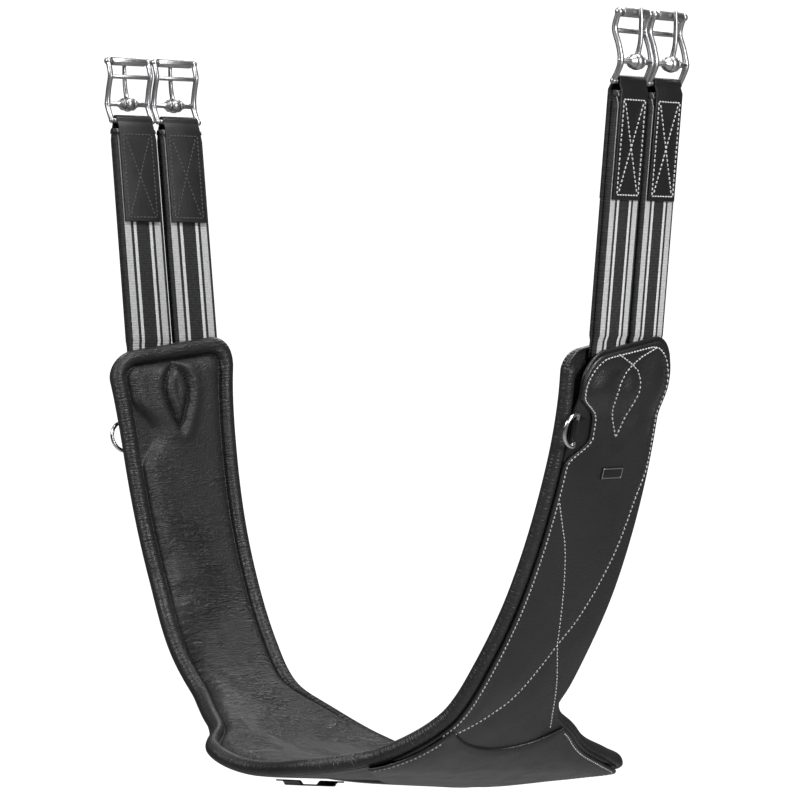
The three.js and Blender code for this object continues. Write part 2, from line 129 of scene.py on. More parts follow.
def through(table, x, column):
    """One column of a table at x, along a smooth curve through its rows."""
    x = np.clip(np.asarray(x, float), table[0, 0], table[-1, 0])
    last = len(table) - 1
    i = np.clip(np.searchsorted(table[:, 0], x, side="right") - 1, 0, last - 1)

    def rise(k):
        a, b = np.maximum(k - 1, 0), np.minimum(k + 1, last)
        return (table[b, column] - table[a, column]) / (table[b, 0] - table[a, 0])

    span = table[i + 1, 0] - table[i, 0]
    u = (x - table[i, 0]) / span
    start, end = table[i, column], table[i + 1, column]
    return ((2 * u**3 - 3 * u**2 + 1) * start + (u**3 - 2 * u**2 + u) * span * rise(i)
            + (3 * u**2 - 2 * u**3) * end + (u**3 - u**2) * span * rise(i + 1))


def directions(s):
    slope, turn, tilt = (np.radians(through(t, s, c)) for t, c in ((SLOPE, 1), (TWIST, 1), (TWIST, 2)))
    along = np.stack([np.cos(slope), 0 * slope, np.sin(slope)], -1)
    across = np.stack([-np.sin(turn) * np.cos(tilt), np.cos(turn) * np.cos(tilt), np.sin(tilt)], -1)
    across -= (across * along).sum(-1, keepdims=True) * along
    across /= np.linalg.norm(across, axis=-1, keepdims=True)
    return along, across, np.cross(across, along)


STEP = 2
STEPS = HALF_LENGTH // STEP
_along = directions(np.arange(-STEPS, STEPS + 1) * STEP)[0]
_hops = (_along[1:] + _along[:-1]) * STEP / 2
CENTRES = np.concatenate([np.zeros((1, 3)), np.cumsum(_hops, 0)])
CENTRES -= CENTRES[STEPS]


def raw_place(s, t, n, slant=True):
    s, t, n = np.broadcast_arrays(np.asarray(s, float), np.asarray(t, float), np.asarray(n, float))
    if slant:
        s = s + np.sign(s) * END_SLANT * t * smooth(np.abs(s), HALF_LENGTH - 60, HALF_LENGTH)
    inside = np.clip(s, -HALF_LENGTH, HALF_LENGTH)
    along, across, outward = directions(inside)
    k = inside / STEP + STEPS
    low = np.clip(np.floor(k).astype(int), 0, 2 * STEPS - 1)
    part = (k - low)[..., None]
    centre = CENTRES[low] * (1 - part) + CENTRES[low + 1] * part
    return centre + along * (s - inside)[..., None] + across * t[..., None] + outward * n[..., None]


ORIGIN_S = -(HALF_LENGTH + HINGE_HEIGHT + ROLLER_BAR[0])
ORIGIN = raw_place(ORIGIN_S, -STRAP_OFFSET, GAP + ELASTIC_THICK / 2, False)


def place(s, t, n, slant=True):
    """Points of the ribbon in the CAD's frame, in metres."""
    return (raw_place(s, t, n, slant) - ORIGIN) * MM


def from_ring(s):
    """The distance along the ribbon from the nearer D-ring."""
    return np.abs(s - np.where(np.asarray(s) < 0, RING_AT["left"], RING_AT["right"]))


def local_frame(s, t, n, flipped=False, slant=False):
    """x across the ribbon, y along it and z outward; flipped, x and y point the other way."""
    along, across, outward = directions(np.clip(float(s), -HALF_LENGTH, HALF_LENGTH))
    way = -1 if flipped else 1
    m = Matrix([list(across * way), list(along * way), list(outward)]).transposed().to_4x4()
    m.translation = Vector(place(s, t, n, slant))
    return m


def strap_frame(side, edge):
    return local_frame(
        SIDES[side] * (HALF_LENGTH + HINGE_HEIGHT), STRAP_OFFSET * EDGES[edge], GAP + ELASTIC_THICK / 2,
        flipped=side == "left")


def reach(s, edge):
    """The outline's distance from the centre line. The right arm's rear notch is the sharper one."""
    s = np.asarray(s, float)
    even = through(CUT, np.abs(s), edge)
    if edge == 1:
        return even
    return even + 4 * np.exp(-(((s - 152) / 11) ** 2)) - 3 * np.exp(-(((s - 180) / 10) ** 2))


def skin_level(s):
    return OVER_CORE + (OVER_ELASTIC - OVER_CORE) * smooth(np.abs(s), 412, 436)


def overlay_level(s):
    return skin_level(s) + LEVEL


def belly_level(s):
    return overlay_level(s) + (LEVEL + GAP) * smooth(np.abs(s), 80, 112)


# ---------------------------------------------------------------- meshes

def finish_mesh(name, verts, faces, material, uv=None, smooth_faces=True):
    mesh = bpy.data.meshes.new(name)
    mesh.from_pydata([tuple(v) for v in verts], [], [tuple(f) for f in faces])
    mesh.validate()
    materials = material if isinstance(material, (list, tuple)) else [material]
    for m in materials:
        mesh.materials.append(m)
    if uv is not None:
        layer = mesh.uv_layers.new(name="ribbon")
        index = np.zeros(len(mesh.loops), int)
        mesh.loops.foreach_get("vertex_index", index)
        layer.data.foreach_set("uv", np.asarray(uv, np.float32)[index].ravel())
    if smooth_faces:
        mesh.shade_smooth()
    obj = bpy.data.objects.new(name, mesh)
    bpy.context.scene.collection.objects.link(obj)
    return obj


def two_faced(high, low):
    """A closed skin from two grids of points that share their outline: outer face, then inner face."""
    rows, cols = high.shape[:2]
    top = np.arange(rows * cols).reshape(rows, cols)
    bottom = top.copy()
    bottom[1:-1, 1:-1] = rows * cols + np.arange((rows - 2) * (cols - 2)).reshape(rows - 2, cols - 2)
    verts = np.concatenate([high.reshape(-1, 3), low[1:-1, 1:-1].reshape(-1, 3)])

    def quads(g, turned):
        a, b, c, d = g[:-1, :-1], g[:-1, 1:], g[1:, 1:], g[1:, :-1]
        order = (a, d, c, b) if turned else (a, b, c, d)
        return np.stack([x.ravel() for x in order], 1)

    return verts, np.concatenate([quads(top, False), quads(bottom, True)])


def grid_uv(s, t):
    pairs = np.stack([s, t], -1) * MM
    return np.concatenate([pairs.reshape(-1, 2), pairs[1:-1, 1:-1].reshape(-1, 2)])


def spread(start, end, edge_steps, cells):
    """Places from start to end, close together near both, for arrays of starts and ends."""
    steps = np.asarray(edge_steps, float)
    reachable = np.minimum(steps[-1], (end - start) * 0.45)[:, None]
    near = steps[None, :] / steps[-1] * reachable
    inner = np.linspace(0, 1, cells + 1)[1:-1]
    middle = (start[:, None] + reachable) + (end - start)[:, None] * inner - 2 * reachable * inner
    return np.concatenate([start[:, None] + near, middle, (end[:, None] - near)[:, ::-1]], 1)


def rounded_distance(to_side, to_end, radius):
    """How far inside an outline with rounded corners."""
    corner = (to_side < radius) & (to_end < radius)
    at_corner = radius - np.hypot(radius - to_side, radius - to_end)
    return np.where(corner, at_corner, np.minimum(to_side, to_end))


def corner_cut(to_end, radius):
    into = np.clip(radius - to_end, 0, radius)
    return radius - np.sqrt(radius**2 - into**2)


def sweep(points, radii, sides=20, closed=False):
    """A round rod through smooth points, with a radius at each, in local millimetres."""
    points = np.asarray(points, float)
    radii = np.broadcast_to(np.asarray(radii, float), len(points))
    if closed:
        tangents = np.roll(points, -1, 0) - np.roll(points, 1, 0)
    else:
        tangents = np.gradient(points, axis=0)
    tangents /= np.linalg.norm(tangents, axis=1, keepdims=True)
    guide = np.array([1.0, 0, 0]) if abs(tangents[:, 0]).max() < 0.9 else np.array([0, 0, 1.0])
    verts, faces = [], []
    turn = np.arange(sides) * 2 * math.pi / sides
    for p, r, d in zip(points, radii, tangents):
        a = guide - d * (guide @ d)
        a /= np.linalg.norm(a)
        b = np.cross(d, a)
        verts.append(p + r * (np.cos(turn)[:, None] * a + np.sin(turn)[:, None] * b))
    count = len(points)
    for i in range(count if closed else count - 1):
        for k in range(sides):
            j = (i + 1) % count
            after = (k + 1) % sides
            faces.append([i * sides + k, i * sides + after, j * sides + after, j * sides + k])
    verts = np.concatenate(verts)
    if not closed:
        faces.append(list(range(sides))[::-1])
        faces.append([(count - 1) * sides + k for k in range(sides)])
    return verts, faces


def spline(points, count):
    """A smooth curve through points, evenly numbered."""
    points = np.asarray(points, float)
    table = np.column_stack([np.arange(len(points)), points])
    x = np.linspace(0, len(points) - 1, count)
    return np.stack([through(table, x, c + 1) for c in range(points.shape[1])], 1)


def lathe_x(profile, sides=32):
    """Turns an outline of (x, radius) places around the x axis."""
    turn = np.arange(sides) * 2 * math.pi / sides
    verts = np.concatenate([
        np.stack([np.full(sides, x), r * np.cos(turn), r * np.sin(turn)], 1) for x, r in profile])
    faces = []
    for i in range(len(profile) - 1):
        for k in range(sides):
            faces.append([i * sides + k, (i + 1) * sides + k, (i + 1) * sides + (k + 1) % sides,
                          i * sides + (k + 1) % sides])
    return verts, faces


def merged(parts):
    verts, faces, offset = [], [], 0
    for v, f in parts:
        verts.append(np.asarray(v, float))
        faces += [[i + offset for i in face] for face in f]
        offset += len(v)
    return np.concatenate(verts), faces


SHARP_ANGLE = 0.6


def local_object(name, parts, matrix, material, bevel=0.0):
    """An object from local millimetres, placed by a matrix in the CAD's frame."""
    verts, faces = merged(parts)
    obj = finish_mesh(name, verts * MM, faces, material)
    if bevel:
        m = bmesh.new()
        m.from_mesh(obj.data)
        bmesh.ops.recalc_face_normals(m, faces=m.faces)
        sharp = [e for e in m.edges if len(e.link_faces) == 2 and e.calc_face_angle(0) > SHARP_ANGLE]
        bmesh.ops.bevel(m, geom=sharp, offset=bevel * MM, segments=3, profile=0.6, affect="EDGES")
        m.to_mesh(obj.data)
        m.free()
        obj.data.shade_smooth()
    obj.data.transform(matrix)
    return obj


def extruded(outline, width, along="x"):
    """A closed block. Its outline, in y and z, is as wide as given along x; or in x and z, along y."""
    count = len(outline)
    if along == "x":
        verts = [(end, y, z) for end in (-width / 2, width / 2) for y, z in outline]
    else:
        verts = [(x, end, z) for end in (-width / 2, width / 2) for x, z in outline]
    faces = [[i, (i + 1) % count, (i + 1) % count + count, i + count] for i in range(count)]
    faces += [list(range(count))[::-1], list(range(count, 2 * count))]
    return np.array(verts), faces


# ---------------------------------------------------------------- stitches

STITCH_LENGTH = 2.5
STITCH_PITCH = 3.4
THREAD = 0.56


def resample(line, pitch):
    line = np.asarray(line, float)
    lengths = np.concatenate([[0], np.cumsum(np.linalg.norm(np.diff(line, axis=0), axis=1))])
    count = max(int(round(lengths[-1] / pitch)), 1)
    at = (np.arange(count) + 0.5) * lengths[-1] / count
    return np.stack([np.interp(at, lengths, line[:, c]) for c in range(line.shape[1])], 1)


def stitches(name, lines, material, place_at):
    """Short threads along lines. place_at turns places on a line into points and outward directions."""
    ring = np.arange(6) * math.pi / 3
    shape = [(-0.5, 0.15, -0.9), (-0.38, 0.8, -0.1), (0, 1, 0.25), (0.38, 0.8, -0.1), (0.5, 0.15, -0.9)]
    verts, faces = [], []
    for line in lines:
        places = resample(line, STITCH_PITCH)
        if len(places) < 2:
            continue
        ahead = np.gradient(places, axis=0)
        ahead /= np.linalg.norm(ahead, axis=1, keepdims=True)
        here, outward = place_at(places)
        there, _ = place_at(places + ahead * 0.5)
        direction = there - here
        direction /= np.linalg.norm(direction, axis=1, keepdims=True)
        side = np.cross(outward, direction)
        for p, d, o, w in zip(here, direction, outward, side):
            base = len(verts)
            for y, r, lift in shape:
                for a in ring:
                    radius = THREAD * r * MM
                    verts.append(p + d * y * STITCH_LENGTH * MM + w * math.cos(a) * radius
                                 + o * (math.sin(a) * radius + lift * THREAD * MM))
            for i in range(len(shape) - 1):
                for k in range(6):
                    a, b = base + 6 * i + k, base + 6 * i + (k + 1) % 6
                    faces.append([a, b, b + 6, a + 6])
            faces.append([base + k for k in range(6)][::-1])
            faces.append([base + 6 * (len(shape) - 1) + k for k in range(6)])
    return finish_mesh(name, verts, faces, material)


def distance_to(lines, s, t):
    """The distance in the ribbon's plane from each place to the nearest line."""
    best = np.full(np.shape(s), 1e6)
    for line in lines:
        line = np.asarray(line, float)
        for a, b in zip(line[:-1], line[1:]):
            d = b - a
            u = np.clip(((s - a[0]) * d[0] + (t - a[1]) * d[1]) / max(d @ d, 1e-9), 0, 1)
            best = np.minimum(best, np.hypot(s - a[0] - u * d[0], t - a[1] - u * d[1]))
    return best


# ---------------------------------------------------------------- materials

class Nodes:
    """A material's node tree, with short calls to add to it."""

    def __init__(self, name):
        self.material = bpy.data.materials.new(name)
        self.material.use_nodes = True
        self.tree = self.material.node_tree
        self.shader = self.tree.nodes["Principled BSDF"]
        self.coords = self.add("ShaderNodeTexCoord")
        self.uv = self.add("ShaderNodeUVMap", uv_map="ribbon")

    def add(self, kind, inputs=None, **settings):
        node = self.tree.nodes.new(kind)
        for key, value in settings.items():
            setattr(node, key, value)
        for key, value in (inputs or {}).items():
            if isinstance(value, bpy.types.NodeSocket):
                self.tree.links.new(value, node.inputs[key])
            else:
                node.inputs[key].default_value = value
        return node

    def link(self, source, target):
        self.tree.links.new(source, target)

    def scaled(self, source, scale):
        return self.add("ShaderNodeMapping", {"Vector": source, "Scale": scale}).outputs["Vector"]

    def noise(self, vector, scale, detail=3.0, roughness=0.55, distortion=0.0):
        return self.add("ShaderNodeTexNoise", {
            "Vector": vector, "Scale": scale, "Detail": detail, "Roughness": roughness,
            "Distortion": distortion,
        }).outputs["Fac"]

    def cells(self, vector, scale, feature="F1"):
        node = self.add("ShaderNodeTexVoronoi", {"Vector": vector, "Scale": scale}, feature=feature)
        return node.outputs["Distance"]

    def math(self, operation, a, b=0.0):
        return self.add("ShaderNodeMath", {0: a, 1: b}, operation=operation).outputs[0]

    def ramp(self, factor, stops, interpolation="LINEAR"):
        node = self.add("ShaderNodeValToRGB", {"Fac": factor})
        ramp = node.color_ramp
        ramp.interpolation = interpolation
        while len(ramp.elements) < len(stops):
            ramp.elements.new(0.5)
        for element, (position, colour) in zip(ramp.elements, stops):
            element.position = position
            element.color = (*colour, 1)
        return node.outputs["Color"]

    def range(self, value, low, high, to_low, to_high):
        return self.add("ShaderNodeMapRange", {
            "Value": value, "From Min": low, "From Max": high, "To Min": to_low, "To Max": to_high,
        }).outputs["Result"]

    def bump(self, height, distance, strength=1.0, normal=None):
        inputs = {"Height": height, "Distance": distance, "Strength": strength}
        if normal is not None:
            inputs["Normal"] = normal
        return self.add("ShaderNodeBump", inputs).outputs["Normal"]

    def constants(self, **values):
        for key, value in values.items():
            self.shader.inputs[key.replace("_", " ")].default_value = value


def leather(name, dark, light, roughness, grain, grain_depth, creases=None, ribs=None):
    """Black leather: pebbled grain, a tone that drifts, and where asked creases or fine ribs."""
    n = Nodes(name)
    at = n.coords.outputs["Object"]
    drift = n.noise(at, 14, 4, 0.6)
    speckle = n.noise(at, 420, 2, 0.6)
    tone = n.math("ADD", n.math("MULTIPLY", drift, 0.7), n.math("MULTIPLY", speckle, 0.3))
    n.link(n.ramp(tone, [(0.3, dark), (0.7, light)]), n.shader.inputs["Base Color"])
    pebbles = n.cells(at, grain, "SMOOTH_F1")
    pores = n.noise(at, grain * 1.9, 2, 0.5)
    height = n.math("ADD", n.math("MULTIPLY", pebbles, -1.0), n.math("MULTIPLY", pores, 0.35))
    normal = n.bump(height, grain_depth)
    if creases:
        along, across, depth = creases
        stretched = n.scaled(n.uv.outputs["UV"], (along, across, 1))
        fold = n.noise(stretched, 1.0, 3, 0.55, 0.9)
        ridge = n.math("ABSOLUTE", n.math("SUBTRACT", fold, 0.5))
        sharp = n.math("POWER", n.range(ridge, 0, 0.14, 0, 1), 0.7)
        patches = n.range(n.noise(at, 24, 3, 0.6), 0.42, 0.62, 0.15, 1.0)
        where = n.add("ShaderNodeSeparateXYZ", {"Vector": n.uv.outputs["UV"]}).outputs["X"]
        lower = n.range(n.math("ABSOLUTE", where), 0.24, 0.4, 1.0, 0.25)
        deep = n.math("MULTIPLY", n.math("MULTIPLY", patches, lower), sharp)
        normal = n.bump(deep, depth, 1.0, normal)
    if ribs:
        along, across, depth = ribs
        stretched = n.scaled(n.uv.outputs["UV"], (along, across, 1))
        rib = n.noise(stretched, 1.0, 2, 0.5, 0.5)
        normal = n.bump(rib, depth, 1.0, normal)
    n.link(normal, n.shader.inputs["Normal"])
    shine = n.noise(at, 60, 3, 0.6)
    n.link(n.range(shine, 0.25, 0.75, roughness - 0.07, roughness + 0.09), n.shader.inputs["Roughness"])
    n.constants(Specular_IOR_Level=0.5)
    return n.material


def steel(name, colour, roughness):
    n = Nodes(name)
    at = n.coords.outputs["Object"]
    cloud = n.noise(at, 90, 3, 0.55)
    tone = n.ramp(cloud, [(0.3, tuple(0.9 * c for c in colour)), (0.7, colour)])
    n.link(tone, n.shader.inputs["Base Color"])
    scratch = n.noise(n.scaled(at, (400, 400, 3200)), 1.0, 2, 0.5)
    n.link(n.range(scratch, 0.3, 0.7, roughness * 0.75, roughness * 1.35), n.shader.inputs["Roughness"])
    n.link(n.bump(n.math("ADD", scratch, cloud), 0.00001), n.shader.inputs["Normal"])
    n.constants(Metallic=1.0)
    return n.material


def thread(name, dark, light):
    n = Nodes(name)
    at = n.coords.outputs["Object"]
    twist = n.add("ShaderNodeTexWave", {"Vector": at, "Scale": 1500.0, "Distortion": 3.0}).outputs["Fac"]
    fuzz = n.noise(at, 700, 2, 0.6)
    n.link(n.ramp(fuzz, [(0.3, dark), (0.7, light)]), n.shader.inputs["Base Color"])
    n.link(n.bump(twist, 0.00006), n.shader.inputs["Normal"])
    n.constants(Roughness=0.75)
    return n.material


# Stripes of the elastic across its width, as shares of it, from one selvedge to the other.
BLACK = (0.018, 0.018, 0.019)
GREY = (0.62, 0.62, 0.63)
WHITE = (0.8, 0.8, 0.8)
STRIPES = [(0.0, BLACK), (0.08, GREY), (0.223, BLACK), (0.288, WHITE), (0.354, BLACK), (0.654, WHITE),
           (0.72, BLACK), (0.779, GREY), (0.92, BLACK)]


def woven(name, stops):
    """Ribbed elastic with stripes lengthwise. Texture coordinates run along it, then across."""
    n = Nodes(name)
    uv = n.uv.outputs["UV"]
    parts = n.add("ShaderNodeSeparateXYZ", {"Vector": uv})
    wobble = n.noise(n.scaled(uv, (900, 30, 1)), 1.0, 2, 0.5)
    across = n.math("ADD", parts.outputs["Y"], n.math("MULTIPLY", n.math("SUBTRACT", wobble, 0.5), 0.00035))
    share = n.range(across, -ELASTIC_WIDTH / 2 * MM, ELASTIC_WIDTH / 2 * MM, 0, 1)
    colour = n.ramp(share, stops, "CONSTANT")
    dust = n.noise(n.scaled(uv, (420, 420, 1)), 1.0, 3, 0.7)
    shade = n.add("ShaderNodeMix", {0: n.range(dust, 0.3, 0.75, 0.0, 0.35), 6: colour, 7: (0.1, 0.1, 0.1, 1)},
                  data_type="RGBA").outputs[2]
    n.link(shade, n.shader.inputs["Base Color"])
    rib = n.add("ShaderNodeTexWave", {"Vector": n.scaled(uv, (1, 0, 0)), "Scale": 150.0, "Distortion": 0.3},
                bands_direction="X").outputs["Fac"]
    yarn = n.add("ShaderNodeTexWave", {"Vector": n.scaled(uv, (0, 1, 0)), "Scale": 190.0, "Distortion": 0.3},
                 bands_direction="Y").outputs["Fac"]
    weave = n.math("ADD", n.math("MULTIPLY", rib, 0.7), n.math("MULTIPLY", yarn, 0.4))
    normal = n.bump(weave, 0.00022)
    n.link(n.bump(dust, 0.00008, 1.0, normal), n.shader.inputs["Normal"])
    n.constants(Roughness=0.85, Specular_IOR_Level=0.25)
    return n.material


def foam_material(name):
    n = Nodes(name)
    at = n.coords.outputs["Object"]
    pores = n.cells(at, 700)
    tone = n.ramp(pores, [(0.1, (0.2, 0.19, 0.16)), (0.6, (0.42, 0.4, 0.35))])
    n.link(tone, n.shader.inputs["Base Color"])
    n.link(n.bump(pores, 0.0004), n.shader.inputs["Normal"])
    n.constants(Roughness=0.95)
    return n.material


LINING_PAD = leather("lining_pad", (0.02, 0.02, 0.021), (0.04, 0.04, 0.041), 0.42, 800, 0.0003,
                     creases=(300, 65, 0.0016))
LINING_ROLL = leather("lining_roll", (0.016, 0.016, 0.017), (0.032, 0.032, 0.033), 0.34, 900, 0.0002,
                      ribs=(700, 90, 0.001))
SKIN_LEATHER = leather("skin_leather", (0.009, 0.009, 0.01), (0.018, 0.018, 0.019), 0.38, 900, 0.0002)
OVERLAY_LEATHER = leather("overlay_leather", (0.014, 0.014, 0.015), (0.026, 0.026, 0.027), 0.34, 850, 0.00025)
STRAP_LEATHER = leather("strap_leather", (0.008, 0.008, 0.009), (0.016, 0.016, 0.017), 0.36, 1000, 0.00012)
WHITE_THREAD = thread("white_thread", (0.6, 0.6, 0.6), (0.85, 0.85, 0.85))
GREY_THREAD = thread("grey_thread", (0.06, 0.06, 0.06), (0.12, 0.12, 0.12))
BLACK_THREAD = thread("black_thread", (0.012, 0.012, 0.012), (0.03, 0.03, 0.03))
BUCKLE_STEEL = steel("buckle_steel", (0.5, 0.5, 0.51), 0.36)
RING_STEEL = steel("ring_steel", (0.72, 0.72, 0.73), 0.17)
ELASTIC_WEAVE = woven("elastic_weave", STRIPES)
WEBBING_WEAVE = woven("webbing_weave", [(0.0, BLACK), (0.5, (0.03, 0.03, 0.03))])
FOAM = foam_material("foam")

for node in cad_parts.values():
    node.data.materials.clear()
    node.data.materials.append(WEBBING_WEAVE)


# ---------------------------------------------------------------- the lining

LEAF = [(452, -1), (447, -8), (440, -12.5), (431, -14), (421, -12), (411, -7.5), (399, -1),
        (411, 4.5), (421, 9), (431, 11.5), (440, 10.5), (447, 6), (452, -1)]
LEAF_TAILS = [[(452, -1), (456, -8), (462, -19)], [(452, -1), (456, 9), (460, 27)]]


def mirrored(line, sign, shift=0.0, share=1.0):
    return [(s * sign, t * share + shift) for s, t in line]


ROLL = 6.6
PAD_START = 2 * ROLL + 0.6
PAD_END = 438
GROOVE = 0.8
PAD_RISE = 7.6
# The lining's leaf is narrower than the overlay's, and sewn nearer to the front edge.
LEAF_SHIFT = -5
LEAF_SHARE = 0.85
LEAF_DIP = 4.6
RIGHT_FRONT_CORNER = 17


def lining_outline(s):
    to_end = HALF_LENGTH - np.abs(s)
    cut = corner_cut(to_end, CORNER)
    front_cut = np.where(s > 0, corner_cut(to_end, RIGHT_FRONT_CORNER), cut)
    return -reach(s, 1) + front_cut, reach(s, 2) - cut


def pad_notch(s):
    """How far the pad draws back from the front edge behind each D-ring."""
    return 15 * (1 - smooth(from_ring(s), 4, 29))


def lining_depth(s, t, inside):
    to_front = t + reach(s, 1)
    into_pad = np.minimum(inside, to_front - pad_notch(s)) - PAD_START
    roll = np.sqrt(np.clip(ROLL**2 - (ROLL - np.clip(inside, 0, 2 * ROLL)) ** 2, 0, None))
    rise = 1 - np.exp(-np.clip(into_pad, 0, None) / 3.2)
    puffs = 0.25 * np.sin(s / 9.0 + 0.6 * np.sin(t / 11.0)) * smooth(into_pad, 4, 20)
    puffs = puffs * smooth(-np.abs(s), -330, -200)
    pad = GROOVE + (PAD_RISE * rise + puffs) * (into_pad > 0)
    depth = np.where(inside < ROLL, roll, np.maximum(roll, pad))
    seam = distance_to([mirrored(LEAF, sign, LEAF_SHIFT, LEAF_SHARE) for sign in (-1, 1)], s, t)
    depth = depth - LEAF_DIP * np.exp(-((seam / 2.2) ** 2)) * (into_pad > 0)
    near_leaf = np.exp(-(((seam - 7) / 5.0) ** 2)) * smooth(into_pad, 2, 8)
    waves = 0.3 * np.sin(s / 2.9 + 1.4 * np.sin(t / 7.0 + s / 31.0)) * smooth(-np.abs(s), -300, -180)
    patches = 0.5 + 0.5 * np.sin(t / 9.0 + s / 17.0)
    return depth + 1.5 * near_leaf + 0.35 * waves * smooth(into_pad, 5, 14) * patches


FOAM_CLEAR = 0.7


def build_foam():
    """The padding, following the lining a little inside it, and deeper inside it under the leaf's seams."""
    rows = np.arange(-PAD_END, PAD_END + 1, 6.0)
    front = -reach(rows, 1) + PAD_START + 4 + pad_notch(rows)
    rear = reach(rows, 2) - PAD_START - 4
    t = spread(front, rear, [0, 1, 2.5, 5], 20)
    s = np.repeat(rows[:, None], t.shape[1], 1)
    inside = np.minimum(t + reach(s, 1), reach(s, 2) - t)
    seam = distance_to([mirrored(LEAF, sign, LEAF_SHIFT, LEAF_SHARE) for sign in (-1, 1)], s, t)
    depth = lining_depth(s, t, inside) - 2.2 - 5 * np.exp(-((seam / 8) ** 2))
    depth = np.maximum(depth, FOAM_CLEAR)
    for part in (depth[:, 0], depth[:, -1], depth[0], depth[-1]):
        part[:] = FOAM_CLEAR
    verts, faces = two_faced(place(s, t, np.full_like(s, -FOAM_CLEAR)), place(s, t, -depth))
    obj = finish_mesh("foam_pad", verts, faces, FOAM, grid_uv(s, t))
    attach(obj, "girth_body")
    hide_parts("foam_padding")


OUTER_ROLL_HIGH = 5.0
OUTER_ROLL_WIDE = 5.5
OUTER_STEP = 3.6


def build_lining():
    edge_steps = [0, 0.1, 0.4, 0.9, 1.6, 2.5, 3.6, 4.8, 6, 7.2, 8.4, 9.5, 10.5, 11.4, 12.2, 12.9, 13.6,
                  14.4, 15.4, 16.8, 18.6, 21]
    ends = HALF_LENGTH - np.array(edge_steps[:-2])
    middle = np.arange(-(HALF_LENGTH - 18), HALF_LENGTH - 17, 2.0)
    rows = np.concatenate([-ends, middle, ends[::-1]])
    front, rear = lining_outline(rows)
    t = spread(front, rear, edge_steps, 60)
    s = np.repeat(rows[:, None], t.shape[1], 1)
    to_end = HALF_LENGTH - np.abs(s)
    to_side = np.minimum(t + reach(s, 1), reach(s, 2) - t)
    radius = np.where((s > 0) & (t < 0), RIGHT_FRONT_CORNER, CORNER)
    inside = rounded_distance(to_side, to_end, radius)
    inside[0], inside[-1], inside[:, 0], inside[:, -1] = 0, 0, 0, 0

    depth = lining_depth(s, t, inside)
    # On the outer side the roll stands proud, and then steps down under the skin.
    rounded = np.clip(OUTER_ROLL_WIDE - inside, 0, OUTER_ROLL_WIDE) / OUTER_ROLL_WIDE
    outer = OUTER_ROLL_HIGH * np.sqrt(np.clip(1 - rounded**2, 0, None))
    outer = outer - OUTER_STEP * smooth(inside, 6.5, 10.5)
    outer = outer * (1 - smooth(inside, 0.5, 3) * smooth(np.abs(s), HALF_LENGTH - 16, HALF_LENGTH - 8))
    verts, faces = two_faced(place(s, t, outer), place(s, t, -depth))
    obj = finish_mesh("padded_lining", verts, faces, [LINING_PAD, LINING_ROLL], grid_uv(s, t))
    on_roll = (inside[:-1, :-1] < PAD_START + 0.5).ravel()
    obj.data.polygons.foreach_set("material_index", np.concatenate([on_roll, on_roll]).astype(np.int32))
    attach(obj, "girth_body")
    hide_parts("lining_left", "lining_belly", "lining_right")
    # The seams of the leaf, sewn with dark thread.
    for sign, name in ((-1, "left"), (1, "right")):
        lines = [mirrored(LEAF, sign, LEAF_SHIFT, LEAF_SHARE)]

        def place_at(p):
            here = place(p[:, 0], p[:, 1], -5.35)
            return here, -directions(p[:, 0])[2]

        seam_obj = stitches(f"lining_leaf_stitches_{name}", lines, BLACK_THREAD, place_at)
        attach(seam_obj, "girth_body")


# ---------------------------------------------------------------- leather layers on the outer side

# A sewn line draws the leather down by this much, over this half width.
SEAM_DIP = 0.5
SEAM_HALF = 0.9
# Distances from a layer's edge at which its points stand.
EDGE_STEPS = [0, 0.15, 0.45, 0.9, 1.4, 2.2, 3.2, 4.4, 6, 8]


def rounded_edge(inside, radius):
    """The share of its height that a sheet has at a distance inside its edge."""
    return np.sqrt(np.clip(1 - (1 - np.clip(inside / radius, 0, 1)) ** 2, 0, 1))


def layer(name, node, rows, outline, to_end, level, relief, material, slot):
    """One closed sheet of leather. outline gives its edges at s, and to_end how far s is from its ends."""
    ends = corner_cut(to_end(rows), CORNER)
    front, rear = outline(rows)
    front, rear = front + ends, rear - ends
    t = spread(front, rear, EDGE_STEPS, 26)
    s = np.repeat(rows[:, None], t.shape[1], 1)
    full_front, full_rear = outline(s)
    to_side = np.minimum(t - full_front, full_rear - t)
    inside = np.clip(rounded_distance(to_side, to_end(s), CORNER), 0, None)
    inside[0], inside[-1], inside[:, 0], inside[:, -1] = 0, 0, 0, 0
    bottom = level(s)
    top = bottom + rounded_edge(inside, 1.3) * (SKIN + relief(s, t, inside))
    verts, faces = two_faced(place(s, t, top), place(s, t, bottom))
    obj = finish_mesh(name, verts, faces, material, grid_uv(s, t))
    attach(obj, "girth_body")
    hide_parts(node)
    return obj


def end_rows(end):
    return end - np.array([0, 0.15, 0.45, 0.9, 1.5, 2.4, 3.6, 5.2, 7.5, 10.5, 14, 18, 22])


def flare(s):
    """1 over the belly's flare, 0 on the arms."""
    return 1 - smooth(np.abs(s), 128, 172)


def build_skin():
    end = HALF_LENGTH - SKIN_END_INSET
    middle = np.arange(-(end - CORNER), end - CORNER + 1, 4)
    rows = np.concatenate([-end_rows(end), middle, end_rows(end)[::-1]])

    def outline(s):
        return -reach(s, 1) + SKIN_FRONT_INSET, reach(s, 2) - SKIN_END_INSET - 6 * flare(s)

    layer("outer_skin_leather", "outer_skin", rows, outline, lambda s: end - np.abs(s), skin_level,
          lambda s, t, d: 0.15 * smooth(d, 2, 8), SKIN_LEATHER, "skin_leather")


def overlay_inset(s):
    """How far an overlay stays from the front edge, which is more beside the D-ring."""
    return 7.5 + 22.0 * (1 - smooth(from_ring(s), 7, 27))


def overlay_outline(s):
    return -reach(s, 1) + overlay_inset(s), reach(s, 2) - 5


